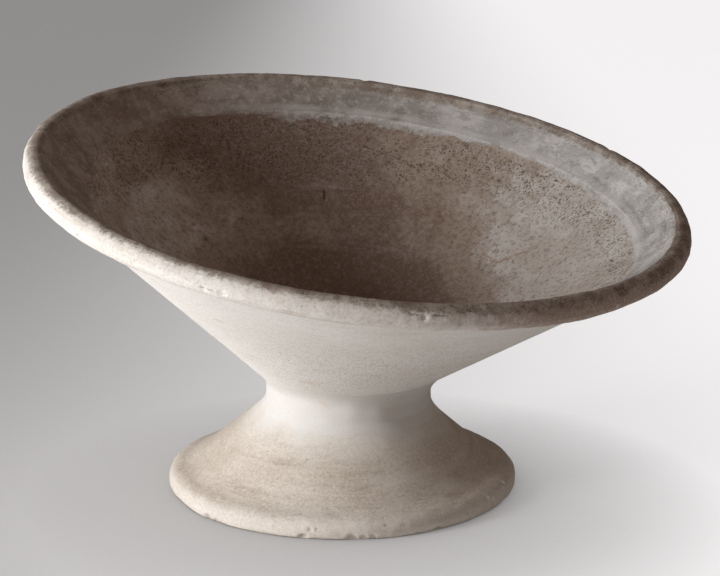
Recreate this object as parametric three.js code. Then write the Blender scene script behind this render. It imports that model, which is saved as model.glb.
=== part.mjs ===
// A wide cone-shaped concrete bowl that leans on a short neck and a flared hollow foot.
//
// Lengths are millimetres and +Z is up. The bowl leans towards -Y, and the YZ plane is the
// mirror plane. The origin is on the ground under the middle of the bowl's rim.
// Every piece is a solid of rings: a closed section carried round an axis, ring by ring.

import * as THREE from 'three';

const SIDES = 80; // facets round every ring
const GAP = 0.3; // clearance between neighbouring pieces

// Bowl. Its own axis leans by BOWL_LEAN, and heights on it count from the rim's widest circle.
const BOWL_LEAN = THREE.MathUtils.degToRad(11.55);
const RIM_CENTRE = new THREE.Vector3(0, 0.14, 290.6);
const RIM_RADIUS = 305;
const WALL = 10; // thickness of the bowl's wall, square to it
const WALL_SLOPE = THREE.MathUtils.degToRad(40.73); // rise of the wall from the rim's plane
const WALL_RADIUS_AT_RIM = 294.4; // the outer cone, carried up to the widest circle's height
const BOWL_BASE_Z = 95.3; // level where the cone is cut off to stand on the neck

// Rim: a hand-rolled band over the wall's thinned top edge.
const CREASE_HEIGHT = -16.4; // inner lower edge of the band, on the inner cone
const ROLL_LOWER = { radius: 283.2, height: -13.1 }; // outer lower edge of the band
const CROWN = { radius: 292.7, height: 13.35 }; // top of the band
const SHOULDER = { radius: 286.2, height: 8.6 }; // where the crown turns down inside
const TONGUE_LENGTH = 22;
const TONGUE_REBATE = 3.5; // how far the tongue stands back from the wall's inner face

// Floor of the bowl: a plug that wedges in the cone, with a drain hole on the foot's axis.
const FLOOR_TOP_Z = 108.6;
const DRAIN_RADIUS = 14;

// Foot: a flared shell whose centre line drifts under the leaning bowl as it rises.
const FOOT_Y = 27.4; // axis of the foot's base
const FLARE_FOOT = { radius: 147.2, z: 17.8 };
const FLARE_TOP = { radius: 77.5, z: 77.9 };
const NECK_DRIFT = 9.3; // how far the centre line has moved towards -Y at the flare's top
const NECK_LEAN = THREE.MathUtils.degToRad(2.58); // lean of the flare's top ring
const FOOT_WALL = 12;
const FOOT_DECK = 14; // thickness under the neck
const FOOT_OPENING_RADIUS = 45;
const HEM_SEAT_Z = 9; // ledge inside the hem that carries the flared shell
const HEM_INNER_RADIUS = 139;

// Neck: a collar of mortar between the foot and the bowl.
const NECK_RADIUS = 77.5;
const BORE_RADIUS = 20; // drain passage through the collar
const FILLET = 8; // length of the concave joint on the neck and on the bowl
const FILLET_EDGE = 0.8; // blunt upper edge of that joint

const ANGLES = Array.from({ length: SIDES }, (_, i) => (i / SIDES) * 2 * Math.PI);

// ---- Rings -----------------------------------------------------------------------------

const bowlAxis = new THREE.Vector3(0, -Math.sin(BOWL_LEAN), Math.cos(BOWL_LEAN));
const bowlAcross = new THREE.Vector3(0, Math.cos(BOWL_LEAN), Math.sin(BOWL_LEAN));

// A point of the bowl from its radius, its height on the leaning axis and its angle.
function bowlPoint(radius, height, angle) {
  return RIM_CENTRE.clone()
    .addScaledVector(bowlAxis, height)
    .addScaledVector(bowlAcross, radius * Math.sin(angle))
    .add(new THREE.Vector3(radius * Math.cos(angle), 0, 0));
}

function bowlRing({ radius, height }) {
  return ANGLES.map((angle) => bowlPoint(radius, height, angle));
}

// Radius of the wall's cone at a height, where depth counts inwards from the outer face.
function coneRadius(height, depth = 0) {
  return WALL_RADIUS_AT_RIM + height / Math.tan(WALL_SLOPE) - depth / Math.sin(WALL_SLOPE);
}

// Height at which one straight line of the cone reaches the level z.
function coneHeightAtLevel(z, depth, angle) {
  const rise = Math.sin(BOWL_LEAN) * Math.sin(angle);
  const start = RIM_CENTRE.z + coneRadius(0, depth) * rise;
  return (z - start) / (Math.cos(BOWL_LEAN) + rise / Math.tan(WALL_SLOPE));
}

// The slanted ring in which a level plane cuts the wall's cone.
function coneRingAtLevel(z, depth) {
  return ANGLES.map((angle) => {
    const height = coneHeightAtLevel(z, depth, angle);
    return bowlPoint(coneRadius(height, depth), height, angle);
  });
}

function levelRing(radius, z) {
  return ANGLES.map((a) => (
    new THREE.Vector3(radius * Math.cos(a), FOOT_Y + radius * Math.sin(a), z)
  ));
}

// A ring of the foot: its centre drifts and its plane leans more the higher it is.
function footRing({ radius, z }) {
  const share = THREE.MathUtils.clamp((z - FLARE_FOOT.z) / (FLARE_TOP.z - FLARE_FOOT.z), 0, 1);
  const lean = NECK_LEAN * share;
  return ANGLES.map((a) => new THREE.Vector3(
    radius * Math.cos(a),
    FOOT_Y - NECK_DRIFT * share + radius * Math.sin(a) * Math.cos(lean),
    z + radius * Math.sin(a) * Math.sin(lean),
  ));
}

// Points on a quarter of an ellipse about a centre, from one angle to another in degrees.
function arc(centre, halfRadius, halfHeight, from, to, steps) {
  return Array.from({ length: steps + 1 }, (_, i) => {
    const t = THREE.MathUtils.degToRad(from + ((to - from) * i) / steps);
    return {
      radius: centre.radius + halfRadius * Math.cos(t),
      height: centre.height + halfHeight * Math.sin(t),
    };
  });
}

// Joins rings into one closed solid. They run round the section anticlockwise, seen with the
// axis on the left, so that every face points out.
function ringSolid(rings) {
  const positions = rings.flat().flatMap((p) => [p.x, p.y, p.z]);
  const index = [];
  rings.forEach((_, i) => {
    const here = i * SIDES;
    const next = ((i + 1) % rings.length) * SIDES;
    for (let j = 0; j < SIDES; j += 1) {
      const k = (j + 1) % SIDES;
      index.push(here + j, here + k, next + k);
      index.push(here + j, next + k, next + j);
    }
  });
  const geometry = new THREE.BufferGeometry();
  geometry.setAttribute('position', new THREE.Float32BufferAttribute(positions, 3));
  geometry.setIndex(index);
  geometry.computeVertexNormals();
  return geometry;
}

// ---- Bowl ------------------------------------------------------------------------------

const crease = { radius: coneRadius(CREASE_HEIGHT, WALL), height: CREASE_HEIGHT };

// A point in the wall: so far up it from the crease, and so deep behind its inner face.
function inWall(along, depth) {
  return {
    radius: crease.radius + along * Math.cos(WALL_SLOPE) + depth * Math.sin(WALL_SLOPE),
    height: crease.height + along * Math.sin(WALL_SLOPE) - depth * Math.cos(WALL_SLOPE),
  };
}

// The conical wall. Its top edge is thinned to a tongue, which the rim's band covers.
function bowlShell() {
  const heights = [-165, -115, -65];
  const outside = heights.map((height) => ({ radius: coneRadius(height), height }));
  const inside = heights.map((height) => ({ radius: coneRadius(height, WALL), height })).reverse();
  return ringSolid([
    coneRingAtLevel(BOWL_BASE_Z, WALL),
    coneRingAtLevel(BOWL_BASE_Z, 0),
    ...outside.map(bowlRing),
    bowlRing(inWall(TONGUE_LENGTH, WALL)),
    bowlRing(inWall(TONGUE_LENGTH, TONGUE_REBATE)),
    bowlRing(inWall(0, TONGUE_REBATE)),
    bowlRing(crease),
    ...inside.map(bowlRing),
  ]);
}

// The rolled band: a bulging outer face, a rounded crown and a lip that slopes to the crease.
function rimRoll() {
  const bulgeCentre = { radius: ROLL_LOWER.radius, height: 0 };
  const bulge = arc(bulgeCentre, RIM_RADIUS - ROLL_LOWER.radius, -ROLL_LOWER.height, -90, 0, 6);
  const crownCentre = { radius: CROWN.radius, height: 0 };
  const crown = arc(crownCentre, RIM_RADIUS - CROWN.radius, CROWN.height, 0, 90, 6).slice(1);
  const shoulderCentre = { radius: CROWN.radius, height: SHOULDER.height };
  const shoulder = arc(
    shoulderCentre,
    CROWN.radius - SHOULDER.radius,
    CROWN.height - SHOULDER.height,
    90,
    180,
    3,
  ).slice(1);
  const seatRadius = coneRadius(ROLL_LOWER.height, -GAP);
  const section = [
    { radius: seatRadius, height: ROLL_LOWER.height },
    ...bulge,
    ...crown,
    ...shoulder,
    inWall(GAP, 0),
    inWall(GAP, TONGUE_REBATE - GAP),
    inWall(TONGUE_LENGTH + GAP, TONGUE_REBATE - GAP),
    inWall(TONGUE_LENGTH + GAP, WALL + GAP),
  ];
  return ringSolid(section.map(bowlRing));
}

// The plug in the bottom of the cone, level on both faces.
function bowlFloor() {
  return ringSolid([
    levelRing(DRAIN_RADIUS, BOWL_BASE_Z),
    coneRingAtLevel(BOWL_BASE_Z, WALL + GAP),
    coneRingAtLevel(FLOOR_TOP_Z, WALL + GAP),
    levelRing(DRAIN_RADIUS, FLOOR_TOP_Z),
  ]);
}

// ---- Neck ------------------------------------------------------------------------------

const neckY = FOOT_Y - NECK_DRIFT;

// Height on one straight line of the bowl's cone where it crosses the neck's upright side.
function neckCrossing(angle) {
  let low = -230;
  let high = -150;
  for (let i = 0; i < 40; i += 1) {
    const middle = (low + high) / 2;
    const p = bowlPoint(coneRadius(middle), middle, angle);
    if (Math.hypot(p.x, p.y - neckY) < NECK_RADIUS) low = middle;
    else high = middle;
  }
  return low;
}

// Level of the foot's leaning top face under a point, raised by the clearance.
function collarBaseZ(y) {
  return FLARE_TOP.z + (y - neckY) * Math.tan(NECK_LEAN) + GAP;
}

// Mortar collar. Below it stands on the foot, and above it is a bed shaped to the bowl's cone.
function neckCollar() {
  const crossings = ANGLES.map((angle) => {
    const height = neckCrossing(angle);
    const point = bowlPoint(coneRadius(height), height, angle);
    return { angle, height, point, round: Math.atan2(point.y - neckY, point.x) };
  });
  const onNeck = (radius, lift) => crossings.map(({ round }) => {
    const x = radius * Math.cos(round);
    const y = neckY + radius * Math.sin(round);
    return new THREE.Vector3(x, y, collarBaseZ(y) + lift);
  });
  const onCone = ({ angle, height }, along, gap) => {
    const up = height + along * Math.sin(WALL_SLOPE);
    return bowlPoint(coneRadius(up, -gap), up, angle);
  };
  // The concave joint is a curve from the neck's side to the cone, pulled towards their corner.
  const joint = (share) => crossings.map((crossing) => {
    const start = crossing.point.clone().setZ(crossing.point.z - FILLET);
    const end = onCone(crossing, FILLET, GAP + FILLET_EDGE);
    const corner = onCone(crossing, 0, GAP + FILLET_EDGE);
    return new THREE.QuadraticBezierCurve3(start, corner, end).getPoint(share);
  });
  const bore = (z) => crossings.map(({ round }) => {
    const x = BORE_RADIUS * Math.cos(round);
    const y = FOOT_Y + BORE_RADIUS * Math.sin(round);
    return new THREE.Vector3(x, y, z ?? collarBaseZ(y));
  });
  return ringSolid([
    bore(),
    onNeck(NECK_RADIUS + 2.4, 0),
    onNeck(NECK_RADIUS + 0.9, 3),
    onNeck(NECK_RADIUS, 7.5),
    joint(0),
    joint(0.3),
    joint(0.55),
    joint(0.8),
    joint(1),
    crossings.map((crossing) => onCone(crossing, FILLET, GAP)),
    coneRingAtLevel(BOWL_BASE_Z - GAP, -GAP),
    bore(BOWL_BASE_Z - GAP),
  ]);
}

// ---- Foot ------------------------------------------------------------------------------

const flareRun = (FLARE_FOOT.radius - FLARE_TOP.radius) / (FLARE_TOP.z - FLARE_FOOT.z);
const flareSlope = Math.atan(1 / flareRun);

// Radius of the flare at a level, where depth counts inwards from the outer face.
function flareRadius(z, depth = 0) {
  return FLARE_FOOT.radius + (FLARE_FOOT.z - z) * flareRun - depth / Math.sin(flareSlope);
}

function footShell() {
  const bottom = HEM_SEAT_Z + GAP;
  const deck = FLARE_TOP.z - FOOT_DECK;
  return ringSolid([
    { radius: flareRadius(bottom, FOOT_WALL), z: bottom },
    { radius: flareRadius(bottom), z: bottom },
    { radius: flareRadius(40), z: 40 },
    { radius: flareRadius(71), z: 71 },
    { radius: flareRadius(74.6) + 0.7, z: 74.6 },
    { radius: FLARE_TOP.radius + 2.4, z: FLARE_TOP.z },
    { radius: FOOT_OPENING_RADIUS, z: FLARE_TOP.z },
    { radius: FOOT_OPENING_RADIUS, z: deck },
    { radius: flareRadius(deck, FOOT_WALL), z: deck },
    { radius: flareRadius(36, FOOT_WALL), z: 36 },
  ].map(footRing));
}

// The rounded band round the foot's lower edge. It stands on a flat ring.
function footHem() {
  const outline = new THREE.SplineCurve([
    [158.4, 0], [163.3, 2.6], [164.8, 7.2], [163.6, 13.2], [159.6, 17.4], [153.2, 19.6], [147.4, 19.2],
  ].map(([radius, z]) => new THREE.Vector2(radius, z)));
  return ringSolid([
    levelRing(HEM_INNER_RADIUS, 0),
    ...outline.getPoints(14).map((p) => levelRing(p.x, p.y)),
    levelRing(flareRadius(HEM_SEAT_Z, -GAP), HEM_SEAT_Z),
    levelRing(HEM_INNER_RADIUS, HEM_SEAT_Z),
  ]);
}

// ---- The planter -----------------------------------------------------------------------

function piece(name, geometry, color, roughness) {
  const material = new THREE.MeshStandardMaterial({ color, roughness, metalness: 0 });
  const mesh = new THREE.Mesh(geometry, material);
  mesh.name = name;
  return mesh;
}

const planter = new THREE.Group();
planter.add(
  piece('rim_roll', rimRoll(), 0xc9c0b6, 0.85),
  piece('bowl_shell', bowlShell(), 0xcfcac3, 0.9),
  piece('bowl_floor', bowlFloor(), 0x6f665e, 0.95),
  piece('neck_collar', neckCollar(), 0xd6d1ca, 0.88),
  piece('foot_shell', footShell(), 0xc2b6a8, 0.9),
  piece('foot_hem', footHem(), 0xc8bfb3, 0.9),
);

export default planter;
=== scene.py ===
import math
from itertools import product

import bpy
import numpy as np
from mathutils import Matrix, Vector


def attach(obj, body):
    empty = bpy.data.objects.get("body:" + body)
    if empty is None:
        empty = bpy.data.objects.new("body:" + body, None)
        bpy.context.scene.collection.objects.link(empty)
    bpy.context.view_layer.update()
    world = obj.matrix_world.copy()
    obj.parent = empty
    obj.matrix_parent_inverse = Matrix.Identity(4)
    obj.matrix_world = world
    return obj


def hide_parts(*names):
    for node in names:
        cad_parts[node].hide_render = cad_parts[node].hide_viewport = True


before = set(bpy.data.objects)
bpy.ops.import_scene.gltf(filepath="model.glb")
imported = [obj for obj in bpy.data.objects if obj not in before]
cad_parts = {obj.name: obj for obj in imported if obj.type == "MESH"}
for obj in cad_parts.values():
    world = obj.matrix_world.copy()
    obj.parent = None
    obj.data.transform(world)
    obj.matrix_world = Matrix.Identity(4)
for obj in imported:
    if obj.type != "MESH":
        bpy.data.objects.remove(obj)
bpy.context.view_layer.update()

scene = bpy.context.scene


# ---- Camera ------------------------------------------------------------------------------
# It stands off the planter's left front and looks down a little, so that the bowl's low lip
# faces the right of the picture.

CAMERA_PLACE = (-1.0543, -1.3555, 0.6094)
CAMERA_AIM = (0.5968, 0.7672, -0.2353)
FOCAL_LENGTH, SENSOR_WIDTH = 95.54, 36  # millimetres

camera_data = bpy.data.cameras.new("camera")
camera_data.lens = FOCAL_LENGTH
camera_data.sensor_width = SENSOR_WIDTH
camera = bpy.data.objects.new("camera", camera_data)
camera.location = CAMERA_PLACE
camera.rotation_euler = Vector(CAMERA_AIM).to_track_quat("-Z", "Y").to_euler()
scene.collection.objects.link(camera)
scene.camera = camera
scene.view_settings.view_transform = "Standard"


# ---- Floor and light ---------------------------------------------------------------------
# A plain pale floor that runs on past the picture's edges. One large soft lamp stands at the
# planter's own height on the left, and a weak warm light comes from all round.

FLOOR_HALF = 30.0
FLOOR_PAINT = (0.80, 0.79, 0.78, 1)
FLOOR_BOUNCE = (0.10, 0.10, 0.10, 1)  # light that the floor throws back on the planter
SHADED_PAINT = (0.30, 0.297, 0.292, 1)  # paint of the floor that the camera sees
FLOOR_GLOW_LEFT = (0.23, 0.23, 0.235, 1)  # the floor looks darker on the lamp's side
FLOOR_GLOW_RIGHT = (0.85, 0.84, 0.85, 1)
GLOW_SPREAD = 0.62  # half the width over which the one turns into the other
CONTACT_REACH = 0.24  # how near the planter the floor's glow darkens, as a painted contact shadow
SKY_GLOW = (0.72, 0.71, 0.71, 1)
ROOM_LIGHT = (1.0, 0.765, 0.645, 1)
ROOM_STRENGTH = 0.16
LAMP_TOWARDS = (-0.982, 0.191, 0.0)
LAMP_DISTANCE = 1.9
LAMP_HEIGHT = 0.58
LAMP_SIZE = (0.36, 1.10)
LAMP_POWER = 38
LAMP_AIM = (0, 0, 0.2)


def feed(socket, value):
    """Gives a shader socket its value: another node's output, a number or a colour."""
    if isinstance(value, bpy.types.NodeSocket):
        socket.id_data.links.new(value, socket)
    else:
        socket.default_value = value


def shader_node(tree, kind, inputs=None, **settings):
    """Adds one shader node with its settings, and feeds the inputs that are named."""
    made = tree.nodes.new("ShaderNode" + kind)
    for name, setting in settings.items():
        setattr(made, name, setting)
    for name, value in (inputs or {}).items():
        feed(made.inputs[name], value)
    return made


def tint(share, below, above):
    """Colour that goes from the one below to the one above as the share goes from 0 to 1. At
    least one of them comes from a node, and the new node joins that node's tree."""
    values = {0: share, 6: below, 7: above}
    tree = next(v.id_data for v in values.values() if isinstance(v, bpy.types.NodeSocket))
    return shader_node(tree, "Mix", values, data_type="RGBA").outputs[2]


def window(value, low, high):
    """Share that rises smoothly from 0 where the value is low to 1 where it is high."""
    if low < high:
        ends = {"From Min": low, "From Max": high, "To Min": 0.0, "To Max": 1.0}
    else:
        ends = {"From Min": high, "From Max": low, "To Min": 1.0, "To Max": 0.0}
    ends["Value"] = value
    made = shader_node(value.id_data, "MapRange", ends, interpolation_type="SMOOTHSTEP")
    return made.outputs["Result"]


floor_mesh = bpy.data.meshes.new("floor")
floor_corners = np.array([(-1, -1, 0), (1, -1, 0), (1, 1, 0), (-1, 1, 0)]) * FLOOR_HALF
floor_mesh.from_pydata(floor_corners.tolist(), [], [(0, 1, 2, 3)])
floor_paint = bpy.data.materials.new("floor_paint")
floor_paint.use_nodes = True
tree = floor_paint.node_tree
tree.nodes.clear()
floor_place = shader_node(tree, "TexCoord").outputs["Object"]
to_the_right = Vector((-CAMERA_AIM[1], CAMERA_AIM[0], 0)).normalized() * -1
sideways = shader_node(
    tree, "VectorMath", {0: floor_place, 1: to_the_right}, operation="DOT_PRODUCT"
).outputs["Value"]
glow_share = window(sideways, -GLOW_SPREAD, GLOW_SPREAD)
glow_colour = tint(glow_share, FLOOR_GLOW_LEFT, FLOOR_GLOW_RIGHT)
# Ambient occlusion dims the floor's glow near the planter: a painted contact shadow.
painted_contact_shadow = shader_node(tree, "AmbientOcclusion", {"Distance": CONTACT_REACH}, samples=12)
glow = shader_node(tree, "Emission", {"Color": glow_colour, "Strength": painted_contact_shadow.outputs["AO"]})
paint = shader_node(tree, "BsdfDiffuse", {"Color": FLOOR_PAINT})
bounce = shader_node(tree, "Emission", {"Color": FLOOR_BOUNCE})
lit_paint = shader_node(tree, "AddShader", {0: paint.outputs[0], 1: bounce.outputs[0]})
shaded_paint = shader_node(tree, "BsdfDiffuse", {"Color": SHADED_PAINT})
seen_paint = shader_node(tree, "AddShader", {0: shaded_paint.outputs[0], 1: glow.outputs[0]})
camera_ray = shader_node(tree, "LightPath").outputs["Is Camera Ray"]
both = shader_node(
    tree, "MixShader", {0: camera_ray, 1: lit_paint.outputs[0], 2: seen_paint.outputs[0]}
)
shader_node(tree, "OutputMaterial", {"Surface": both.outputs[0]})
floor_mesh.materials.append(floor_paint)
floor = bpy.data.objects.new("floor", floor_mesh)
scene.collection.objects.link(floor)

world = bpy.data.worlds.new("room")
scene.world = world
world.use_nodes = True
tree = world.node_tree
tree.nodes.clear()
room = shader_node(tree, "Background", {"Color": ROOM_LIGHT, "Strength": ROOM_STRENGTH})
sky = shader_node(tree, "Background", {"Color": SKY_GLOW, "Strength": 1.0})
camera_ray = shader_node(tree, "LightPath").outputs["Is Camera Ray"]
both = shader_node(tree, "MixShader", {0: camera_ray, 1: room.outputs[0], 2: sky.outputs[0]})
shader_node(tree, "OutputWorld", {"Surface": both.outputs[0]})

lamp_data = bpy.data.lights.new("lamp", "AREA")
lamp_data.shape = "RECTANGLE"
lamp_data.size, lamp_data.size_y = LAMP_SIZE
lamp_data.energy = LAMP_POWER
lamp = bpy.data.objects.new("lamp", lamp_data)
lamp_direction = Vector(LAMP_TOWARDS).normalized()
lamp.location = lamp_direction * LAMP_DISTANCE + Vector((0, 0, LAMP_HEIGHT))
lamp_aim = Vector(LAMP_AIM) - lamp.location
lamp.rotation_euler = lamp_aim.to_track_quat("-Z", "Y").to_euler()
scene.collection.objects.link(lamp)


# ---- Foot --------------------------------------------------------------------------------
# A flared shell of pale cement mortar, pressed by hand over a mould of the bowl's own slope
# and finished with a wet brush that was drawn round and round. Its flat top carries the neck.

GAP = 0.0003  # clearance between neighbouring pieces
FOOT_Y = 0.0274  # axis of the foot's base
FLARE_FOOT_RADIUS, FLARE_FOOT_Z = 0.1472, 0.0178
FLARE_TOP_RADIUS, FLARE_TOP_Z = 0.0775, 0.0779
FLARE_RUN = (FLARE_FOOT_RADIUS - FLARE_TOP_RADIUS) / (FLARE_TOP_Z - FLARE_FOOT_Z)
FLARE_SINE = 1 / math.hypot(1, FLARE_RUN)
NECK_DRIFT = 0.0093  # how far the foot's centre line has moved under the bowl at its top
NECK_LEAN = math.radians(2.58)
FOOT_WALL = 0.012
FOOT_DECK_Z = 0.0639
FOOT_OPENING = 0.045
FOOT_BOTTOM_Z = 0.0093
FOOT_SIDES = 640
FOOT_PIT_SIZE, FOOT_PIT_DEPTH = 0.0056, 0.0008
SLOW_WAVES = (0.0012, 0.070)  # depth and length
SHORT_WAVES = (0.0006, 0.024)
BRUSH_RIDGES = (0.00020, 0.0030)
SHARP_EDGE = math.radians(62)

FOOT_TONES = (
    (0.605, 0.550, 0.490, 1),  # pale clouds
    (0.500, 0.435, 0.370, 1),  # warm clouds
    (0.290, 0.220, 0.165, 1),  # brushed streaks
)
BOTTOM_EDGE_DARK = (0.33, 0.28, 0.23, 1)
RUBBED_PALE = (0.715, 0.675, 0.625, 1)
DUSTY = (0.700, 0.660, 0.610, 1)
THIN_WASH = (0.745, 0.720, 0.680, 1)
THICK_WASH = (0.660, 0.645, 0.625, 1)
MORTAR_PIT_SHADE = (0.26, 0.21, 0.165, 1)
SAND_PALE = (0.93, 0.91, 0.88, 1)
SPECK_DARK = (0.10, 0.085, 0.075, 1)
GRIT_DARK = (0.03, 0.02, 0.015, 1)
GRIT_PALE = (0.95, 0.94, 0.92, 1)
GRIT_SIZE = 0.0019


def scatter(cells, seed):
    """Random number from 0 to 1 for each lattice cell: its three whole numbers and the seed
    are multiplied by large odd numbers and their bits are mixed."""
    mixed = cells[..., 0] * 73856093 ^ cells[..., 1] * 19349663 ^ cells[..., 2] * 83492791
    mixed = (mixed ^ (seed * 40503 + 977)) * 2654435761 & 0xFFFFFFFF
    mixed = (mixed ^ mixed >> 15) * 2246822519 & 0xFFFFFFFF
    mixed = mixed ^ mixed >> 13
    return (mixed & 0xFFFFFF) / 0x1000000


def drift(points, size, seed):
    """Smooth random value from 0 to 1: the lattice corners round each point hold random
    numbers, mixed by the point's eased distance to each corner."""
    cell = np.floor(points / size).astype(np.int64)
    share = points / size - cell
    share = share * share * (3 - 2 * share)
    total = np.zeros(points.shape[:-1])
    for corner in product((0, 1), repeat=3):
        weight = np.prod(np.where(corner, share, 1 - share), axis=-1)
        total += weight * scatter(cell + corner, seed)
    return total


def pits(points, size, share, seed):
    """Round hollows, from 0 to 1 deep: a share of the lattice cells of that size holds a pit
    at a random spot, whose depth falls with the square of the distance from its middle."""
    cell = np.floor(points / size).astype(np.int64)
    deepest = np.zeros(points.shape[:-1])
    for offset in product((-1, 0, 1), repeat=3):
        home = cell + offset
        spread = [scatter(home, seed + k) for k in range(3)]
        middle = (home + np.stack(spread, axis=-1)) * size
        radius = size * (0.15 + 0.22 * scatter(home, seed + 3))
        distance = np.linalg.norm(points - middle, axis=-1) / radius
        hollow = np.clip(1 - distance**2, 0, None)
        deepest = np.maximum(deepest, np.where(scatter(home, seed + 4) < share, hollow, 0))
    return deepest


def shaken(points, reach, size, seed):
    """Points moved along the diagonal by a smooth random step, of up to half the reach."""
    return points + reach * (drift(points, size, seed)[..., None] - 0.5)


def hand_waves(points):
    """How deep the hand and the brush have pressed the wet mortar in: slow waves, shorter
    waves, and fine ridges that run level round the foot."""
    waves = SLOW_WAVES[0] * (drift(points, SLOW_WAVES[1], 11) - 0.5)
    waves = waves + SHORT_WAVES[0] * (drift(points, SHORT_WAVES[1], 12) - 0.5)
    ridges = drift(points * (0.10, 0.10, 1.0), BRUSH_RIDGES[1], 13) - 0.5
    return waves + BRUSH_RIDGES[0] * ridges


def once_round(sides):
    """Angles in equal steps once round an axis."""
    return np.linspace(0, 2 * np.pi, sides, endpoint=False)


def facing(points):
    """Unit normals of a grid of closed rings: the step round the ring crossed with the step
    along the section."""
    round_step = np.roll(points, -1, 1) - np.roll(points, 1, 1)
    along_step = np.roll(points, -1, 0) - np.roll(points, 1, 0)
    normal = np.cross(round_step, along_step)
    return normal / np.maximum(np.linalg.norm(normal, axis=-1, keepdims=True), 1e-12)


def section(knots, counts):
    """Closed section: each straight stretch from a knot to the next is cut in equal steps."""
    knots = np.array(knots, float)
    ends = np.roll(knots, -1, axis=0)
    parts = [
        start + (end - start) * (np.arange(count) / count)[:, None]
        for start, end, count in zip(knots, ends, counts)
    ]
    return np.concatenate(parts)


def ring_solid(name, points, marks, material):
    """Mesh of a closed solid from a grid of points: rows go round the section, columns round
    the axis, and both close on themselves. The marks become numbers on its points."""
    rows, sides = points.shape[:2]
    row, side = np.meshgrid(np.arange(rows), np.arange(sides), indexing="ij")
    next_row = (row + 1) % rows
    next_side = (side + 1) % sides
    corners = (
        row * sides + side,
        row * sides + next_side,
        next_row * sides + next_side,
        next_row * sides + side,
    )
    faces = np.stack(corners, axis=-1).reshape(-1, 4)
    mesh = bpy.data.meshes.new(name)
    mesh.from_pydata(points.reshape(-1, 3).tolist(), [], faces.tolist())
    mesh.shade_smooth()
    mesh.set_sharp_from_angle(angle=SHARP_EDGE)
    for mark, values in marks.items():
        layer = mesh.attributes.new(mark, "FLOAT", "POINT")
        layer.data.foreach_set("value", values.astype(np.float32).ravel())
    mesh.materials.append(material)
    made = bpy.data.objects.new(name, mesh)
    scene.collection.objects.link(made)
    return made


def times(first, second):
    """Product of two shader values."""
    values = {0: first, 1: second}
    return shader_node(first.id_data, "Math", values, operation="MULTIPLY").outputs[0]


def plus(first, second):
    """Sum of two shader values."""
    values = {0: first, 1: second}
    return shader_node(first.id_data, "Math", values, operation="ADD").outputs[0]


def carry(value, start, end):
    """Value from 0 to 1 carried over to the range between two others."""
    ends = {"Value": value, "To Min": start, "To Max": end}
    return shader_node(value.id_data, "MapRange", ends).outputs["Result"]


def coats(colour, layers):
    """Colour under thin coats of paint. Each coat has its share of the surface, how much it
    covers there, and its tone."""
    for share, cover, tone in layers:
        colour = tint(times(share, cover), colour, tone)
    return colour


def mottle(place, size, detail=5.0, rough=0.6):
    """Cloudy value from 0 to 1 whose patches are about that size in metres."""
    settings = {"Vector": place, "Scale": 1 / size, "Detail": detail, "Roughness": rough}
    return shader_node(place.id_data, "TexNoise", settings).outputs["Fac"]


def dotted(place, density, edge, core):
    """Round dots at scattered points, so many to the metre: 0 outside the edge and 1 inside
    the core, both measured from the nearest point in shares of the spacing."""
    points = shader_node(place.id_data, "TexVoronoi", {"Vector": place, "Scale": density})
    return window(points.outputs["Distance"], edge, core)


def squeeze(place, scale):
    """Coordinates drawn out or squeezed along each axis."""
    return shader_node(place.id_data, "Mapping", {"Vector": place, "Scale": scale}).outputs[0]


def mark_value(tree, name):
    """A number that the mesh carries on its points."""
    return shader_node(tree, "Attribute", attribute_name=name).outputs["Fac"]


def cement_ground(name, tones, lean=0.0, streaks=0.5, specks=0.4):
    """Cement mortar: clouds of a pale and a warm tone, brushed streaks round the axis of a
    darker tone, a fine sandy grain and scattered dark specks. Returns the material, its tree
    and coordinates, the colour so far, and the height of the grain and the streaks."""
    pale, warm, dark = tones
    material = bpy.data.materials.new(name)
    material.use_nodes = True
    tree = material.node_tree
    tree.nodes.clear()
    where = shader_node(tree, "TexCoord").outputs["Object"]
    place = shader_node(tree, "Mapping", {"Vector": where, "Rotation": (-lean, 0, 0)}).outputs[0]
    clouds = window(mottle(place, 0.085, 4, 0.62), 0.34, 0.68)
    streak = mottle(squeeze(place, (11, 11, 150)), 1.0, 8, 0.68)
    patchy = window(mottle(place, 0.050, 4), 0.34, 0.66)
    bristles = mottle(squeeze(place, (34, 34, 560)), 1.0, 5, 0.62)
    sand = mottle(place, 0.0026, 5, 0.75)
    chosen = window(mottle(place, 0.016, 2), 0.58, 0.70)
    colour = coats(tint(clouds, pale, warm), [
        (times(window(streak, 0.44, 0.76), patchy), streaks, dark),
        (window(bristles, 0.48, 0.30), 0.22, dark),
    ])
    lighter = tint(0.5, colour, SAND_PALE)
    colour = coats(colour, [
        (window(sand, 0.51, 0.62), 0.34, lighter),
        (window(sand, 0.49, 0.38), 0.34, dark),
        (times(dotted(place, 190.0, 0.30, 0.10), chosen), specks, SPECK_DARK),
    ])
    return material, tree, place, colour, plus(sand, times(bristles, 0.7))


def cement_finish(tree, colour, height, bump=0.35, grit=0.15):
    """Ends a cement material: sand grains that darken and lighten the colour by the share of
    grit, and a chalky surface whose dullness varies, bumped by the height."""
    where = shader_node(tree, "TexCoord").outputs["Object"]
    grains = mottle(where, GRIT_SIZE, 3, 0.8)
    darker = tint(0.55, colour, GRIT_DARK)
    colour = coats(colour, [(window(grains, 0.49, 0.38), grit, darker)])
    lighter = tint(0.35, colour, GRIT_PALE)
    colour = coats(colour, [(window(grains, 0.52, 0.63), grit, lighter)])
    relief = shader_node(tree, "Bump", {"Strength": bump, "Distance": 0.0008, "Height": height})
    surface = {
        "Base Color": colour,
        "Roughness": carry(mottle(where, 0.012, 4), 0.80, 0.96),
        "Specular IOR Level": 0.28,
        "Normal": relief.outputs[0],
    }
    shader = shader_node(tree, "BsdfPrincipled", surface)
    shader_node(tree, "OutputMaterial", {"Surface": shader.outputs[0]})


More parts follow.
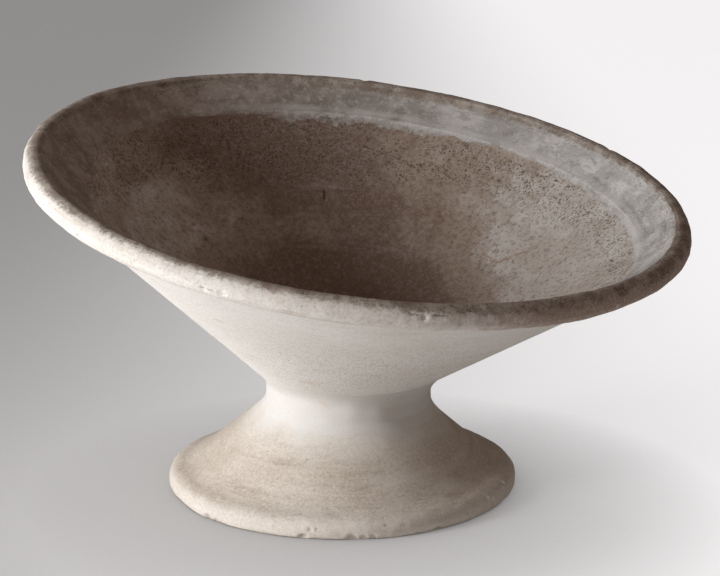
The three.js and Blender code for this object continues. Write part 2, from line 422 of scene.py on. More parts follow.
def flare_radius(height, depth=0.0):
    """Radius of the flare's cone at a height, so deep behind its outer face."""
    return FLARE_FOOT_RADIUS + (FLARE_FOOT_Z - height) * FLARE_RUN - depth / FLARE_SINE


def foot_points(radius, height, angle):
    """Points of the foot: circles of that radius and height, whose centre drifts towards -Y
    and whose plane leans more the higher they are."""
    rise = np.clip((height - FLARE_FOOT_Z) / (FLARE_TOP_Z - FLARE_FOOT_Z), 0, 1)
    lean = NECK_LEAN * rise
    x = radius * np.cos(angle)
    y = FOOT_Y - NECK_DRIFT * rise + radius * np.sin(angle) * np.cos(lean)
    return np.stack([x, y, height + radius * np.sin(angle) * np.sin(lean)], axis=-1)


foot_knots = [
    (flare_radius(FOOT_BOTTOM_Z, FOOT_WALL), FOOT_BOTTOM_Z),
    (flare_radius(FOOT_BOTTOM_Z), FOOT_BOTTOM_Z),
    (flare_radius(0.071), 0.071),
    (flare_radius(0.0738) + 0.0005, 0.0738),
    (FLARE_TOP_RADIUS + 0.0024, FLARE_TOP_Z),
    (FOOT_OPENING, FLARE_TOP_Z),
    (FOOT_OPENING, FOOT_DECK_Z),
    (flare_radius(FOOT_DECK_Z, FOOT_WALL), FOOT_DECK_Z),
]
foot_counts = [4, 66, 4, 4, 8, 4, 4, 26]
foot_skin = np.repeat([0, 1, 1, 0.5, 0, 0.3, 0.3, 0.8], foot_counts)[:, None]
foot_rows = section(foot_knots, foot_counts)
foot_angle = once_round(FOOT_SIDES)[None, :]
foot_base = foot_points(foot_rows[:, :1], foot_rows[:, 1:], foot_angle)
foot_pits = pits(foot_base, FOOT_PIT_SIZE, 0.012, 14)
foot_depth = (hand_waves(foot_base) + FOOT_PIT_DEPTH * foot_pits) * foot_skin
foot_solid = foot_base - facing(foot_base) * foot_depth[..., None]


def foot_mortar(name):
    """Mortar of the foot and of what is bonded to it, coloured by its height: a band round
    the ground that is rubbed paler, brown brush clouds over it, and white wash from the neck
    down to a ragged edge. Returns what cement_ground returns."""
    material, tree, place, colour, height = cement_ground(
        name, FOOT_TONES, streaks=0.62, specks=0.35
    )
    level = shader_node(tree, "SeparateXYZ", {"Vector": place}).outputs["Z"]
    dust = mottle(squeeze(place, (14, 14, 52)), 1.0, 5)
    fine_wander = carry(mottle(place, 0.016, 7, 0.65), -0.006, 0.006)
    near_level = plus(level, fine_wander)
    wander = carry(mottle(place, 0.040, 6, 0.6), -0.022, 0.022)
    wash_level = plus(level, wander)
    colour = coats(colour, [
        (window(dust, 0.48, 0.70), 0.45, DUSTY),
        (window(near_level, 0.0200, 0.0140), 0.55, RUBBED_PALE),
        # darker along the lowest three millimetres
        (window(near_level, 0.0026, -0.0010), 0.5, BOTTOM_EDGE_DARK),
        (window(wash_level, 0.050, 0.078), 0.55, THIN_WASH),
        (window(wash_level, 0.066, 0.079), 0.92, THICK_WASH),
        # the pits are darkened as painted shade
        (mark_value(tree, "hollow"), 0.5, MORTAR_PIT_SHADE),
    ])
    return material, tree, place, colour, height


foot_material, tree, place, colour, height = foot_mortar("foot_mortar")
cement_finish(tree, colour, height)

foot = ring_solid("foot_visual", foot_solid, {"hollow": foot_pits * foot_skin}, foot_material)
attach(foot, "root")
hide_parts("foot_shell")


# ---- Hem of the foot ---------------------------------------------------------------------
# A rounded band of the same mortar round the foot's lower edge, thickened by hand where it
# meets the ground. Its top is drawn out thin over the flare, and small chips have left its edge.

HEM_INNER = 0.139
HEM_EDGE_RADIUS = 0.1635  # circle on which the chips lie
HEM_BODY_TOP = 0.0235  # level at which the band thins out over the flare
HEM_PIT_SIZE, HEM_PIT_DEPTH = 0.0046, 0.0010
HEM_SEAT_Z = 0.009
HEM_SIDES = 800
HEM_SHOWN = 54  # rows of the outline that are seen
HEM_OUTLINE = [
    (0.1584, 0.0000), (0.1617, 0.0008), (0.1637, 0.0030), (0.1648, 0.0072),
    (0.1641, 0.0118), (0.1619, 0.0154), (0.1580, 0.0181), (0.1535, 0.0197),
    (0.1490, 0.0209), (0.1450, 0.0225), (0.1413, 0.0245), (0.1379, 0.0267),
    (0.1346, 0.0290), (0.1315, 0.0313), (0.1290, 0.0329),
]
HEM_CHIPS = [
    # angle in degrees, height, reach and depth
    (-175.2, 0.0015, 0.0065, 0.0022),
    (-172.0, 0.0005, 0.0050, 0.0014),
    (-139.5, 0.0012, 0.0060, 0.0024),
    (-137.3, 0.0100, 0.0030, 0.0012),
    (-124.4, 0.0008, 0.0080, 0.0020),
    (-120.8, 0.0010, 0.0055, 0.0018),
    (-118.0, 0.0020, 0.0045, 0.0014),
    (-96.0, 0.0005, 0.0060, 0.0016),
    (-60.0, 0.0005, 0.0070, 0.0018),
    (-18.0, 0.0010, 0.0060, 0.0022),
    (22.0, 0.0005, 0.0080, 0.0020),
    (58.0, 0.0010, 0.0050, 0.0016),
    (97.0, 0.0010, 0.0075, 0.0022),
    (131.0, 0.0005, 0.0060, 0.0016),
    (156.0, 0.0015, 0.0050, 0.0018),
]
HEM_SPECKS = [
    # places of the small white specks of lime, and their reach
    ((0.0831, -0.1096, 0.0170), 0.0022),
    ((0.0775, -0.1165, 0.0150), 0.0014),
    ((0.0487, -0.1275, 0.0150), 0.0020),
    ((0.0930, -0.0990, 0.0165), 0.0013),
    ((0.0560, -0.1270, 0.0125), 0.0012),
]
HEM_WORN = (0.82, 0.79, 0.74, 1)
HEM_CHIP_DARK = (0.56, 0.51, 0.45, 1)
HEM_LIME = (0.85, 0.84, 0.81, 1)


def smooth_line(knots, rows):
    """Smooth curve through the knots, in steps of equal length: each stretch mixes its four
    nearest knots by cubic weights."""
    knots = np.array(knots, float)
    padded = np.vstack([2 * knots[0] - knots[1], knots, 2 * knots[-1] - knots[-2]])
    share = np.linspace(0, len(knots) - 1, 40 * len(knots))
    first = np.minimum(share.astype(int), len(knots) - 2)
    t = (share - first)[:, None]
    p0, p1, p2, p3 = (padded[first + k] for k in range(4))
    curve = 0.5 * (
        2 * p1
        + (p2 - p0) * t
        + (2 * p0 - 5 * p1 + 4 * p2 - p3) * t**2
        + (3 * p1 - 3 * p2 + p3 - p0) * t**3
    )
    steps = np.linalg.norm(np.diff(curve, axis=0), axis=1)
    length = np.concatenate([[0], np.cumsum(steps)])
    even = np.linspace(0, length[-1], rows)
    return np.stack([np.interp(even, length, curve[:, k]) for k in range(curve.shape[1])], axis=1)


def spot(points, centre, reach):
    """Smooth spot: 1 in its centre and 0 at its reach, by the square of one less the square
    of the distance."""
    distance = np.linalg.norm(points - np.array(centre), axis=-1) / reach
    return np.clip(1 - distance**2, 0, None) ** 2


def knocks(points, places):
    """Depth and mark of the spots where an edge is knocked off, from each one's middle, reach
    and depth: the deepest spot counts, and its border is drawn in steeply."""
    spots = [(spot(points, middle, reach), depth) for middle, reach, depth in places]
    deepest = np.max([np.minimum(1.6 * broken, 1) * depth for broken, depth in spots], axis=0)
    return deepest, np.max([np.minimum(2 * broken, 1) for broken, _ in spots], axis=0)


hem_outer = smooth_line(HEM_OUTLINE, HEM_SHOWN)
hem_back = [
    HEM_OUTLINE[-1], (0.1385, 0.0225), (flare_radius(HEM_SEAT_Z, -GAP), HEM_SEAT_Z),
    (HEM_INNER, HEM_SEAT_Z), (HEM_INNER, 0), HEM_OUTLINE[0],
]
hem_rest = section(hem_back, [3, 5, 7, 7, 12, 1])[:-1]
hem_rows = np.concatenate([hem_outer, hem_rest[1:]])
hem_skin = np.concatenate([np.ones(HEM_SHOWN), np.zeros(len(hem_rest) - 1)])[:, None]
hem_skin = np.where(hem_rows[:, 1:] < 0.0004, 0, hem_skin)
hem_body = np.clip((HEM_BODY_TOP - hem_rows[:, 1:]) / 0.005, 0, 1)
hem_angle = once_round(HEM_SIDES)[None, :]
hem_base = foot_points(hem_rows[:, :1], hem_rows[:, 1:], hem_angle)
hem_lumps = 0.0010 * (drift(hem_base, 0.017, 22) - 0.4)
hem_lumps = hem_lumps + 0.0004 * (drift(hem_base, 0.0050, 23) - 0.4)
hem_waves = hand_waves(hem_base) + hem_lumps * hem_body
hem_pits = pits(hem_base, HEM_PIT_SIZE, 0.035, 24) * hem_body
chip_places = []
for degrees, z, reach, depth in HEM_CHIPS:
    turn = math.radians(degrees)
    middle = (HEM_EDGE_RADIUS * math.cos(turn), FOOT_Y + HEM_EDGE_RADIUS * math.sin(turn), z)
    chip_places.append((middle, reach, depth))
hem_chip, hem_chip_mark = knocks(shaken(hem_base, 0.0022, 0.0035, 25), chip_places)
hem_speck = np.max(
    [np.minimum(2 * spot(hem_base, place, 1.5 * reach), 1) for place, reach in HEM_SPECKS], axis=0
)
hem_depth = (hem_waves + HEM_PIT_DEPTH * hem_pits + hem_chip) * hem_skin
hem_normal = facing(hem_base)
hem_normal[HEM_SHOWN - 1] = hem_normal[HEM_SHOWN - 2]  # keeps the thin upper edge flat
hem_solid = hem_base - hem_normal * hem_depth[..., None]
hem_solid[..., 2] = np.maximum(hem_solid[..., 2], 0)

hem_material, tree, place, colour, height = foot_mortar("hem_mortar")
worn = window(mottle(place, 0.006, 5, 0.7), 0.57, 0.66)
colour = coats(colour, [
    (times(worn, mark_value(tree, "body")), 0.30, HEM_WORN),
    # the chips are darker
    (mark_value(tree, "chip"), 0.6, HEM_CHIP_DARK),
])
colour = tint(mark_value(tree, "speck"), colour, HEM_LIME)
cement_finish(tree, colour, height, bump=0.42, grit=0.25)

hem_marks = {
    "hollow": hem_pits * hem_skin,
    "chip": hem_chip_mark,
    "speck": hem_speck,
    "body": np.broadcast_to(hem_body, hem_base.shape[:2]),
}
hem = ring_solid("hem_visual", hem_solid, hem_marks, hem_material)
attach(hem, "root")
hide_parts("foot_hem")


# ---- Neck --------------------------------------------------------------------------------
# A thick collar of white mortar that joins bowl and foot. It was filled in by hand while wet,
# smoothed with a brush, and its edges are drawn out thin over both cones.

BOWL_LEAN = math.radians(11.55)
BOWL_AXIS = np.array([0, -math.sin(BOWL_LEAN), math.cos(BOWL_LEAN)])
BOWL_ACROSS = np.array([0, math.cos(BOWL_LEAN), math.sin(BOWL_LEAN)])
RIM_CENTRE = np.array([0, 0.00014, 0.2906])
WALL = 0.010
WALL_SLOPE = math.radians(40.73)
WALL_RADIUS_AT_RIM = 0.2944
BOWL_BASE_Z = 0.0953
NECK_RADIUS = 0.0775
NECK_Y = FOOT_Y - NECK_DRIFT
BORE_RADIUS = 0.020
NECK_SIDES = 520
FILLET = 0.0115
FILLET_SIDE = math.radians(-38)  # the fillet is widest here and narrowest on the far side
SKIRT = [
    # how far out from the neck's side, and how high over the foot's top
    (0.0205, -0.0183), (0.0175, -0.0153), (0.0146, -0.0125), (0.0118, -0.0097),
    (0.0093, -0.0071), (0.0070, -0.0045), (0.0049, -0.0017), (0.0031, 0.0014),
    (0.0015, 0.0045), (0.0001, 0.0072),
]
JOINT_RUN, JOINT_SPREAD = 0.007, 1.60  # how far the joint runs up the cone, and more by fillet
TUCK_DEPTH = 0.0030  # how deep the collar's hidden side stands behind the cone's face
# painted shade for the neck's top under the bowl
NECK_TOP_SHADE = (0.60, 0.54, 0.47, 1)


def bowl_points(radius, height, angle):
    """Points of the bowl from their radius, their height on the leaning axis from the rim's
    widest circle, and their angle."""
    radius, height, angle = (v[..., None] for v in np.broadcast_arrays(radius, height, angle))
    sideways = radius * np.cos(angle) * np.array([1.0, 0, 0])
    return RIM_CENTRE + BOWL_AXIS * height + sideways + BOWL_ACROSS * radius * np.sin(angle)


def cone_radius(height, depth=0.0):
    """Radius of the bowl's wall at a height, so deep behind its outer face."""
    return WALL_RADIUS_AT_RIM + height / math.tan(WALL_SLOPE) - depth / math.sin(WALL_SLOPE)


def cone_height_at_level(z, depth, angle):
    """Height on the leaning axis at which each straight line of the cone meets the level z."""
    rise = math.sin(BOWL_LEAN) * np.sin(angle)
    start = RIM_CENTRE[2] + cone_radius(0, depth) * rise
    return (z - start) / (math.cos(BOWL_LEAN) + rise / math.tan(WALL_SLOPE))


neck_angle = once_round(NECK_SIDES)
# Heights on the bowl's axis where the neck's side meets the cone, by halving the interval.
low, high = np.full(NECK_SIDES, -0.230), np.full(NECK_SIDES, -0.150)
for _ in range(40):
    middle = (low + high) / 2
    trial = bowl_points(cone_radius(middle), middle, neck_angle)
    within = np.hypot(trial[:, 0], trial[:, 1] - NECK_Y) < NECK_RADIUS
    low, high = np.where(within, middle, low), np.where(within, high, middle)
crossing = bowl_points(cone_radius(low), low, neck_angle)
neck_round = np.arctan2(crossing[:, 1] - NECK_Y, crossing[:, 0])


def bowl_press(points):
    """How deep the mould's faults and the brush lie in the bowl's outer face: slow waves,
    shorter waves, and fine ridges that run round the leaning axis."""
    along_axis = (points - RIM_CENTRE) @ BOWL_AXIS
    brushed = np.stack([points[..., 0] * 0.05, points[..., 1] * 0.05, along_axis], axis=-1)
    waves = 0.0008 * drift(points, 0.100, 43) + 0.0003 * drift(points, 0.030, 44)
    return waves + 0.00016 * drift(brushed, 0.0032, 45)


def neck_points(radius, lift):
    """Points round the neck at that radius, so high above the foot's leaning top face."""
    x = radius * np.cos(neck_round)
    y = NECK_Y + radius * np.sin(neck_round)
    base = FLARE_TOP_Z + (y - NECK_Y) * math.tan(NECK_LEAN) + GAP
    return np.stack([x, y, base + lift], axis=-1)


def cone_points(along, proud):
    """Points on the bowl's outer cone, so far up it from the neck and so far outside it."""
    height = low + along * math.sin(WALL_SLOPE)
    return bowl_points(cone_radius(height, -proud), height, neck_angle)


def between(start, end, rows):
    """Rings in equal steps from one ring to another, without the last one."""
    share = (np.arange(rows) / rows)[:, None, None]
    return start * (1 - share) + end * share


def by_part(parts, values):
    """Column that gives every ring the value of its part."""
    return np.concatenate([np.full(len(p), v) for p, v in zip(parts, values)])[:, None]


skirt_line = smooth_line(SKIRT, 34)
skirt = foot_points(
    NECK_RADIUS + skirt_line[:, :1], FLARE_TOP_Z + 0.0002 + skirt_line[:, 1:], neck_round[None, :]
)
fillet = FILLET * (0.58 + 0.42 * np.cos(neck_angle - FILLET_SIDE))
fillet = np.minimum(fillet, crossing[:, 2] - skirt[-1][:, 2] - 0.0006)
joint_start = crossing - fillet[:, None] * (0, 0, 1)
joint_corner = cone_points(0.0004 + 0.06 * fillet, 0.0002 + 0.12 * fillet)
joint_end = cone_points(JOINT_RUN + JOINT_SPREAD * fillet, -GAP)
bend = np.linspace(0, 1, 20)[:, None, None]
joint = (1 - bend) ** 2 * joint_start + 2 * bend * (1 - bend) * joint_corner + bend**2 * joint_end
tuck = cone_points(JOINT_RUN + JOINT_SPREAD * fillet, -TUCK_DEPTH)
tuck_low_height = cone_height_at_level(BOWL_BASE_Z, TUCK_DEPTH, neck_angle)
tuck_low = bowl_points(cone_radius(tuck_low_height, TUCK_DEPTH), tuck_low_height, neck_angle)
bore_x = BORE_RADIUS * np.cos(neck_round)
bore_y = FOOT_Y + BORE_RADIUS * np.sin(neck_round)
bore_base = FLARE_TOP_Z + (bore_y - NECK_Y) * math.tan(NECK_LEAN) + GAP
bore_low = np.stack([bore_x, bore_y, bore_base], axis=-1)
bore_high = np.stack([bore_x, bore_y, np.full(NECK_SIDES, BOWL_BASE_Z - GAP)], axis=-1)
neck_parts = [
    between(bore_low, neck_points(NECK_RADIUS - 0.002, 0.0), 6),
    between(neck_points(NECK_RADIUS - 0.002, 0.0), skirt[0], 3),
    skirt[:-1],
    between(skirt[-1], joint_start, 6),
    joint,
    between(tuck, tuck_low, 5),
    between(tuck_low, bore_high, 5),
    between(bore_high, bore_low, 5),
]
neck_base = np.concatenate(neck_parts)
neck_skin = by_part(neck_parts, [0, 0, 1, 1, 1, 0, 0, 0])
neck_body = np.clip((neck_base[..., 2] - FLARE_TOP_Z) / 0.006, 0, 1)
neck_lumps = 0.0008 * (drift(neck_base, 0.016, 32) - 0.5)
neck_pits = pits(neck_base, 0.0050, 0.010, 34) * neck_body
up_the_cone = by_part(neck_parts, range(len(neck_parts))) == 4
joint_share = np.where(up_the_cone, (np.cumsum(up_the_cone) / len(joint))[:, None], 0)
neck_depth = hand_waves(neck_base) + neck_lumps * neck_body + 0.0006 * neck_pits
neck_depth = neck_depth * (1 - joint_share) + bowl_press(neck_base) * joint_share
neck_depth = neck_depth * neck_skin
neck_normal = facing(neck_base)
skirt_edge = len(neck_parts[0]) + len(neck_parts[1])
joint_edge = sum(len(part) for part in neck_parts[:5]) - 1
neck_normal[skirt_edge] = neck_normal[skirt_edge + 1]
neck_normal[joint_edge] = neck_normal[joint_edge - 1]
neck_solid = neck_base - neck_normal * neck_depth[..., None]

neck_material, tree, place, colour, height = foot_mortar("neck_mortar")
# The neck's top, under the bowl's overhang, is darkened in patches as painted shade.
shade_patches = window(mottle(place, 0.022, 6, 0.65), 0.52, 0.72)
level = shader_node(tree, "SeparateXYZ", {"Vector": place}).outputs["Z"]
under_bowl_shade = times(window(level, 0.086, 0.098), shade_patches)
colour = coats(colour, [(under_bowl_shade, 0.6, NECK_TOP_SHADE)])
cement_finish(tree, colour, height, bump=0.30, grit=0.10)

neck = ring_solid("neck_visual", neck_solid, {"hollow": neck_pits * neck_skin}, neck_material)
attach(neck, "root")
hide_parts("neck_collar")


# ---- Bowl wall ---------------------------------------------------------------------------
# A cone of fibre mortar about 10 mm thick, pressed into a mould. Outside it is limewashed and
# brushed; inside, years of wet soil have stained it brown and opened many small casting pits.

BOWL_SIDES = 800
CREASE_HEIGHT = -0.0164
CREASE_RADIUS = cone_radius(CREASE_HEIGHT, WALL)
TONGUE_LENGTH = 0.022
TONGUE_REBATE = 0.0035
OUTER_ROWS, INNER_ROWS = 24, 94
FINE_ROWS, FINE_SHARE = 62, 0.46  # rows of the inner face's upper part lie close together
BOWL_PIT_DEPTH, GOUGE_DEPTH = 0.0011, 0.0020
HOLE_SPOT = (-0.0581, 0.1669, 0.2203)  # a small deep hole in the stained wall
GOUGE = ((0.0936, 0.1783, 0.2496), (0.0900, 0.1734, 0.2422))  # ends of a short upright scratch
RUST_LINE = [
    # places along a crack from which rust has run
    (0.1706, 0.0216, 0.1997), (0.1690, 0.0060, 0.1960), (0.1707, -0.0033, 0.1961),
    (0.1800, -0.0150, 0.2030), (0.1872, -0.0253, 0.2087),
]
SANDY_LEVEL, SANDY_REACH = 0.152, 0.034  # where the outer face is left rough

BOWL_TONES = ((0.825, 0.815, 0.795, 1), (0.770, 0.750, 0.715, 1), (0.600, 0.530, 0.450, 1))
CLEAN_INSIDE = ((0.660, 0.610, 0.560, 1), (0.800, 0.775, 0.740, 1))
SOIL_FILM = (0.460, 0.370, 0.305, 1)
SOIL_DEEP = (0.270, 0.190, 0.150, 1)
CRUMB_DARK = (0.215, 0.160, 0.125, 1)
CRUMB_PALE = (0.680, 0.630, 0.570, 1)
WATER_SWIRL = (0.620, 0.585, 0.545, 1)
CAST_PIT_SHADE = (0.115, 0.084, 0.064, 1)
GRAIN_DARK = (0.15, 0.115, 0.09, 1)
LIME_FLAKE = (0.760, 0.755, 0.745, 1)
EARTH_SMUDGE = (0.62, 0.44, 0.28, 1)
HOLE_SHADE = (0.060, 0.044, 0.034, 1)
RUST_RUN = (0.420, 0.200, 0.070, 1)
LIP_TONES = (
    ((0.340, 0.315, 0.290, 1), (0.530, 0.515, 0.500, 1)),  # between the two sides
    ((0.350, 0.288, 0.248, 1), (0.510, 0.450, 0.405, 1)),  # away from the lamp: grime and painted shade
    ((0.600, 0.595, 0.585, 1), (0.840, 0.838, 0.830, 1)),  # facing the lamp: painted light
)
LIP_SCRATCH = (0.200, 0.175, 0.155, 1)
LIP_SMEAR = (0.230, 0.200, 0.175, 1)
LIP_CRUST = (0.740, 0.735, 0.725, 1)


def in_wall(along, depth):
    """Radius and height of a point in the wall: so far up it from the inner crease, and so
    deep behind its inner face."""
    radius = CREASE_RADIUS + along * math.cos(WALL_SLOPE) + depth * math.sin(WALL_SLOPE)
    height = CREASE_HEIGHT + along * math.sin(WALL_SLOPE) - depth * math.cos(WALL_SLOPE)
    return radius, height


def stroke(points, start, end, width):
    """Smooth line mark from one place to another: 1 on the line and 0 at its width."""
    start, end = np.array(start), np.array(end)
    run = end - start
    share = np.clip((points - start) @ run / (run @ run), 0, 1)
    distance = np.linalg.norm(points - start - share[..., None] * run, axis=-1) / width
    return np.clip(1 - distance**2, 0, None)


bowl_angle = once_round(BOWL_SIDES)[None, :]
outer_foot = cone_height_at_level(BOWL_BASE_Z, 0.0, bowl_angle)
inner_foot = cone_height_at_level(BOWL_BASE_Z, WALL, bowl_angle)
tongue_knots = [
    in_wall(TONGUE_LENGTH, WALL),
    in_wall(TONGUE_LENGTH, TONGUE_REBATE),
    in_wall(0, TONGUE_REBATE),
]
outer_share = np.linspace(0, 1, OUTER_ROWS)[:, None]
outer_height = outer_foot * (1 - outer_share) + tongue_knots[0][1] * outer_share
outer_rows = bowl_points(cone_radius(outer_height), outer_height, bowl_angle)
tongue_rows = np.stack([bowl_points(r, h, bowl_angle[0]) for r, h in tongue_knots[1:]])
fine_rows = np.linspace(0, FINE_SHARE, FINE_ROWS, endpoint=False)
wide_rows = np.linspace(FINE_SHARE, 1, INNER_ROWS - FINE_ROWS)
inner_share = np.concatenate([fine_rows, wide_rows])[:, None]
inner_height = CREASE_HEIGHT * (1 - inner_share) + inner_foot * inner_share
inner_rows = bowl_points(cone_radius(inner_height, WALL), inner_height, bowl_angle)
bowl_parts = [outer_rows, tongue_rows, inner_rows]
bowl_base = np.concatenate(bowl_parts)
outer_skin = by_part(bowl_parts, [1.0, 0.0, 0.0])
inner_skin = by_part(bowl_parts, [0.0, 0.0, 1.0])
not_inside = np.zeros((OUTER_ROWS + 2, 1))
crease_fade = np.concatenate([not_inside, np.clip(inner_share * 90, 0, 1)])
inner_run = (CREASE_HEIGHT - inner_height) / math.sin(WALL_SLOPE)
down_wall = np.concatenate([not_inside * np.ones(BOWL_SIDES), inner_run])


def around(angle, middle, reach):
    """Share that falls from 1 at an angle to 0 so many degrees away, by the square of one
    less the square of the distance."""
    away = (np.degrees(angle) - middle + 180) % 360 - 180
    return np.clip(1 - (away / reach) ** 2, 0, None) ** 2


def lit_side(angle):
    """Where the rim and upper wall are palest, as painted light on the side facing the lamp."""
    return around(angle, -24, 88)


def limed(angle):
    """Where lime has come out of the concrete along the crease."""
    return np.clip(1.6 * around(angle, 15, 98), 0, 1)


def grime_and_shade(angle):
    """Where the rim and upper wall are darkest: grime, and painted shade away from the lamp."""
    return around(angle, 125, 110)


upper_band = np.clip((0.122 + 0.03 * drift(bowl_base, 0.060, 41) - down_wall) / 0.050, 0, 1)
deep_start = 0.150 - 0.048 * around(bowl_angle, 58, 75) - 0.030 * around(bowl_angle, 12, 62)
deep_part = np.clip((down_wall - deep_start + 0.02) / 0.095, 0, 1)
band_soil = (
    0.88 * around(bowl_angle, 80, 54)
    + 0.12 * around(bowl_angle, 150, 70)
    + 0.42 * around(bowl_angle, 32, 46)
    + 0.25 * around(bowl_angle, -110, 80)
    - 0.38 * around(bowl_angle, 107, 32) * np.clip((down_wall - 0.040) / 0.03, 0, 1)
)
soil = band_soil * upper_band + 0.16 * around(bowl_angle, 110, 110) + 0.92 * deep_part
pit_limit = 0.052 + 0.046 * around(bowl_angle, 68, 85)
pit_limit = pit_limit + 0.030 * (drift(bowl_base, 0.040, 42) - 0.5)
pitted = np.clip((pit_limit - down_wall) / 0.022, 0, 1) * np.clip(down_wall / 0.006 - 0.6, 0, 1)
margin_reach = 0.0022 + 0.0105 * around(bowl_angle, 52, 42) + 0.0045 * around(bowl_angle, -22, 50)
margin_reach = margin_reach + 0.032 * around(bowl_angle, 178, 75)
margin_reach = margin_reach * (0.4 + 1.2 * drift(bowl_base, 0.022, 50))
margin = np.clip(1.15 - down_wall / margin_reach, 0, 1)
sandy = np.clip(1.5 - np.abs(bowl_base[..., 2] - SANDY_LEVEL) / SANDY_REACH, 0, 1)
sandy = sandy * around(bowl_angle, -118, 62)

worm = shaken(bowl_base, 0.0022, 0.0030, 53)
wide_pits = pits(worm * (1, 1, 0.7), 0.0046, 0.30, 46) * pitted
wide_pits = wide_pits * (drift(bowl_base, 0.020, 47) > 0.45)
lone_pits = pits(bowl_base, 0.0062, 0.012, 52)
bowl_hollow = np.maximum(wide_pits, lone_pits) * inner_skin
bowl_gouge = 0.8 * stroke(worm, *GOUGE, 0.0016) * inner_skin
bowl_gouge = np.maximum(bowl_gouge, spot(bowl_base, HOLE_SPOT, 0.0036) * inner_skin)
bowl_depth = bowl_press(bowl_base) * (outer_skin + 1.7 * inner_skin)
bowl_holes = BOWL_PIT_DEPTH * bowl_hollow + GOUGE_DEPTH * bowl_gouge
bowl_depth = bowl_depth + bowl_holes * inner_skin
bowl_depth = bowl_depth * np.maximum(outer_skin, crease_fade)
bowl_solid = bowl_base - facing(bowl_base) * bowl_depth[..., None]

rust_wander = shaken(bowl_base, 0.0034, 0.006, 48)
rust_runs = zip(RUST_LINE[:-1], RUST_LINE[1:])
bowl_rust = np.max([stroke(rust_wander, *ends, 0.0020) for ends in rust_runs], axis=0)
bowl_rust = bowl_rust * inner_skin * np.clip(1.6 * drift(bowl_base, 0.010, 49), 0, 1)


def lip_paint(tree, place):
    """Colour of the weathered lip: clouds of grey, paler on the side that faces the lamp as
    painted light and darker on the other as grime and painted shade, fine rubbed scratches
    round it, and pale crusty spots."""
    clouds = window(mottle(place, 0.034, 8, 0.70), 0.41, 0.59)
    middle, grime_and_shade_tone, pale = (tint(clouds, *pair) for pair in LIP_TONES)
    # Grime and painted shade darken the side away from the lamp; painted light makes the other
    # side paler.
    tone = tint(mark_value(tree, "grime_and_shade"), middle, grime_and_shade_tone)
    tone = tint(mark_value(tree, "lit_side"), tone, pale)
    scratches = mottle(squeeze(place, (9, 9, 170)), 1.0, 8, 0.7)
    smears = mottle(squeeze(place, (48, 48, 120)), 1.0, 8, 0.74)
    spots = mottle(place, 0.0060, 8, 0.76)
    return coats(tone, [
        (window(scratches, 0.52, 0.70), 0.48, LIP_SCRATCH),
        (window(smears, 0.50, 0.38), 0.42, LIP_SMEAR),
        (window(spots, 0.53, 0.61), 0.42, LIP_CRUST),
    ])


def cast_pits(tree, place):
    """Share that is 1 in small dark pits of many sizes: the distance from wandering scattered
    points, set against a size that each pit draws for itself."""
    wobble = shader_node(tree, "TexNoise", {"Vector": place, "Scale": 520.0, "Detail": 2.0})
    shift = {0: wobble.outputs["Color"], 1: (0.0030, 0.0030, 0.0030), 2: place}
    shifted = shader_node(tree, "VectorMath", shift, operation="MULTIPLY_ADD").outputs[0]
    upright = squeeze(shifted, (1.0, 1.0, 0.62))
    points = shader_node(tree, "TexVoronoi", {"Vector": upright, "Scale": 400.0})
    sizes = carry(points.outputs["Color"], 0.16, 0.62)
    ratio = {0: points.outputs["Distance"], 1: sizes}
    near = window(shader_node(tree, "Math", ratio, operation="DIVIDE").outputs[0], 1.15, 0.60)
    where = window(mottle(place, 0.014, 6, 0.7), 0.36, 0.54)
    return times(times(near, where), mark_value(tree, "pitted"))


bowl_material, tree, place, colour, height = cement_ground(
    "bowl_cement", BOWL_TONES, lean=BOWL_LEAN, streaks=0.42, specks=0.22
)
inside = mark_value(tree, "inside")
blotches = carry(mottle(place, 0.026, 8, 0.68), -0.55, 0.55)
soil_edge = plus(mark_value(tree, "soil"), blotches)
clean_clouds = window(mottle(place, 0.050, 6, 0.62), 0.38, 0.62)
inner_colour = tint(clean_clouds, *CLEAN_INSIDE)
inner_colour = tint(window(soil_edge, 0.05, 0.45), inner_colour, SOIL_FILM)
inner_colour = tint(window(soil_edge, 0.48, 0.92), inner_colour, SOIL_DEEP)
crumbs = mottle(place, 0.0050, 7, 0.75)
swirls = mottle(squeeze(place, (14, 14, 120)), 1.0, 7, 0.66)
grain_where = window(mottle(place, 0.018, 5, 0.65), 0.44, 0.62)
inner_grain = times(dotted(place, 620.0, 0.40, 0.14), grain_where)
inner_colour = coats(inner_colour, [
    (window(crumbs, 0.50, 0.38), 0.60, CRUMB_DARK),
    (window(crumbs, 0.51, 0.62), 0.24, CRUMB_PALE),
    (window(swirls, 0.50, 0.74), 0.30, WATER_SWIRL),
    # the pits are darkened as painted shade
    (cast_pits(tree, place), 0.85, CAST_PIT_SHADE),
    (inner_grain, 0.45, GRAIN_DARK),
])
ragged_margin = carry(mottle(place, 0.009, 8, 0.76), -0.9, 1.9)
margin_shape = plus(mark_value(tree, "margin"), ragged_margin)
on_margin = window(mark_value(tree, "margin"), 0.0, 0.14)
painted = times(window(margin_shape, 0.62, 0.86), on_margin)
inner_colour = tint(painted, inner_colour, lip_paint(tree, place))
flakes = times(window(margin_shape, 1.22, 1.52), mark_value(tree, "limed"))
inner_colour = coats(inner_colour, [(times(flakes, on_margin), 0.65, LIME_FLAKE)])
smudge = window(mottle(squeeze(place, (30, 30, 90)), 1.0, 3), 0.66, 0.76)
outside = shader_node(tree, "Math", {0: 1.0, 1: inside}, operation="SUBTRACT").outputs[0]
colour = coats(tint(inside, colour, inner_colour), [
    (times(smudge, outside), 0.5, EARTH_SMUDGE),
    # the pits, the scratch and the hole are darkened as painted shade
    (mark_value(tree, "hollow"), 0.90, HOLE_SHADE),
    (mark_value(tree, "rust"), 0.75, RUST_RUN),
])
